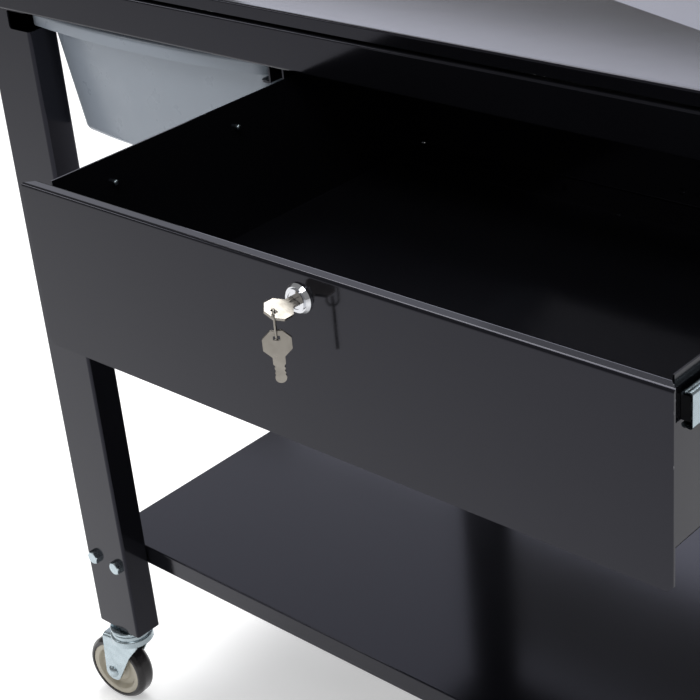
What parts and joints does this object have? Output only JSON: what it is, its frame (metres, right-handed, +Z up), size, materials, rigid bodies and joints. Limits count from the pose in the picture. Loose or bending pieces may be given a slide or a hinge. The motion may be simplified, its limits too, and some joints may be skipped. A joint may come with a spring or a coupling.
{
  "type": "tool cart",
  "caption": "Rolling tool cart: sheet-steel table with a drain top, bottom shelf, lockable drawer on ball slides, sliding plastic tub and swivel casters.",
  "frame": {"origin": "centre of the cart's footprint on the floor, with the drawer open as at rest", "axes": "+X to the right along the front, +Y to the back, +Z up; the drawer opens towards -Y"},
  "size_m": [0.984, 0.917, 0.83],
  "materials": {
    "frame_paint": "glossy black powder coat",
    "drawer_paint": "glossy black powder coat",
    "zinc_plate": "bright zinc plate",
    "slide_steel": "zinc-plated cold-rolled steel",
    "chrome": "polished",
    "nickel": "stamped, nickel plated",
    "black_plastic": "moulded",
    "grey_plastic": "moulded, satin",
    "hub_plastic": "moulded, satin",
    "tyre": "smooth, slightly glossy"
  },
  "bodies": {
    "cart_frame": {"table_top": "frame_paint", "drain_spout": "zinc_plate", "apron_front": "frame_paint", "apron_rear": "frame_paint", "apron_left": "frame_paint", "apron_right": "frame_paint", "leg_front_left": "frame_paint", "leg_front_right": "frame_paint", "leg_rear_left": "frame_paint", "leg_rear_right": "frame_paint", "foot_plates": "zinc_plate", "bottom_shelf": "frame_paint", "shelf_bolts": "zinc_plate", "shelf_nuts": "zinc_plate", "tub_rail_left": "frame_paint", "tub_rail_right": "frame_paint", "drawer_hanger_left": "frame_paint", "drawer_hanger_right": "frame_paint", "slide_outer_left": "slide_steel", "slide_outer_right": "slide_steel", "slide_outer_screws": "zinc_plate", "caster_stems": "zinc_plate"},
    "slide_middles": {"slide_middle_left": "slide_steel", "slide_middle_right": "slide_steel"},
    "outer_cages": {"outer_ball_cages": "slide_steel"},
    "inner_cages": {"inner_ball_cages": "slide_steel"},
    "drawer": {"slide_bumpers": "black_plastic", "slide_inner_left": "slide_steel", "slide_inner_right": "slide_steel", "slide_inner_screws": "zinc_plate", "drawer_tray": "drawer_paint", "drawer_back": "drawer_paint", "drawer_front": "drawer_paint", "lock_body": "chrome", "lock_nut": "zinc_plate"},
    "lock_barrel": {"lock_plug": "chrome", "lock_cam": "chrome", "cam_screw": "zinc_plate", "key_in_lock": "nickel"},
    "link": {"key_link": "nickel"},
    "hanging_key": {"spare_key": "nickel"},
    "tub": {"tub": "grey_plastic"},
    "caster_front_left": {"fork_front_left": "zinc_plate", "axle_front_left": "zinc_plate"},
    "wheel_front_left": {"hub_front_left": "hub_plastic", "tyre_front_left": "tyre"},
    "caster_front_right": {"fork_front_right": "zinc_plate", "axle_front_right": "zinc_plate"},
    "wheel_front_right": {"hub_front_right": "hub_plastic", "tyre_front_right": "tyre"},
    "caster_rear_left": {"fork_rear_left": "zinc_plate", "axle_rear_left": "zinc_plate"},
    "wheel_rear_left": {"hub_rear_left": "hub_plastic", "tyre_rear_left": "tyre"},
    "caster_rear_right": {"fork_rear_right": "zinc_plate", "axle_rear_right": "zinc_plate"},
    "wheel_rear_right": {"hub_rear_right": "hub_plastic", "tyre_rear_right": "tyre"}
  },
  "joints": [
    {"name": "slides_extend", "type": "slide", "parent": "cart_frame", "child": "slide_middles", "axis": [0, -1, 0], "range_m": [-0.2222, 0]},
    {"name": "drawer_slide", "type": "slide", "parent": "slide_middles", "child": "drawer", "axis": [0, -1, 0], "range_m": [-0.0178, 0.172]},
    {"name": "outer_cages_roll", "type": "slide", "parent": "cart_frame", "child": "outer_cages", "axis": [0, -1, 0], "range_m": [-0.1111, 0]},
    {"name": "inner_cages_roll", "type": "slide", "parent": "slide_middles", "child": "inner_cages", "axis": [0, -1, 0], "range_m": [-0.0089, 0.086]},
    {"name": "lock_turn", "type": "hinge", "parent": "drawer", "child": "lock_barrel", "pos_m": [0.15911, -0.42759, 0.7606], "axis": [0, 1, 0], "range_deg": [-20, 70]},
    {"name": "link_swing", "type": "hinge", "parent": "lock_barrel", "child": "link", "pos_m": [0.16161, -0.45188, 0.76025], "axis": [0.7193, 0.6947, 0], "range_deg": [-55, 12]},
    {"name": "spare_key_swing", "type": "hinge", "parent": "link", "child": "hanging_key", "pos_m": [0.16161, -0.45188, 0.74585], "axis": [-0.6947, 0.7193, 0], "range_deg": [-25, 25]},
    {"name": "tub_slide", "type": "slide", "parent": "cart_frame", "child": "tub", "axis": [0, -1, 0], "range_m": [0, 0.36]},
    {"name": "swivel_front_left", "type": "hinge", "parent": "cart_frame", "child": "caster_front_left", "pos_m": [-0.42959, -0.16849, 0.0989], "axis": [0, 0, 1], "continuous": true},
    {"name": "wheel_spin_front_left", "type": "hinge", "parent": "caster_front_left", "child": "wheel_front_left", "pos_m": [-0.45361, -0.1714, 0.0381], "axis": [0.1201, -0.9928, 0], "continuous": true},
    {"name": "swivel_front_right", "type": "hinge", "parent": "cart_frame", "child": "caster_front_right", "pos_m": [0.45941, -0.16849, 0.0989], "axis": [0, 0, 1], "continuous": true},
    {"name": "wheel_spin_front_right", "type": "hinge", "parent": "caster_front_right", "child": "wheel_front_right", "pos_m": [0.43551, -0.16471, 0.0381], "axis": [-0.1564, -0.9877, 0], "continuous": true},
    {"name": "swivel_rear_left", "type": "hinge", "parent": "cart_frame", "child": "caster_rear_left", "pos_m": [-0.42959, 0.43551, 0.0989], "axis": [0, 0, 1], "continuous": true},
    {"name": "wheel_spin_rear_left", "type": "hinge", "parent": "caster_rear_left", "child": "wheel_rear_left", "pos_m": [-0.45273, 0.42843, 0.0381], "axis": [0.2924, -0.9563, 0], "continuous": true},
    {"name": "swivel_rear_right", "type": "hinge", "parent": "cart_frame", "child": "caster_rear_right", "pos_m": [0.45941, 0.43551, 0.0989], "axis": [0, 0, 1], "continuous": true},
    {"name": "wheel_spin_rear_right", "type": "hinge", "parent": "caster_rear_right", "child": "wheel_rear_right", "pos_m": [0.43522, 0.43635, 0.0381], "axis": [-0.0349, -0.9994, 0], "continuous": true}
  ],
  "couplings": [
    {"joint": "outer_cages_roll", "follows": "slides_extend", "ratio": 0.5},
    {"joint": "inner_cages_roll", "follows": "drawer_slide", "ratio": 0.5}
  ]
}
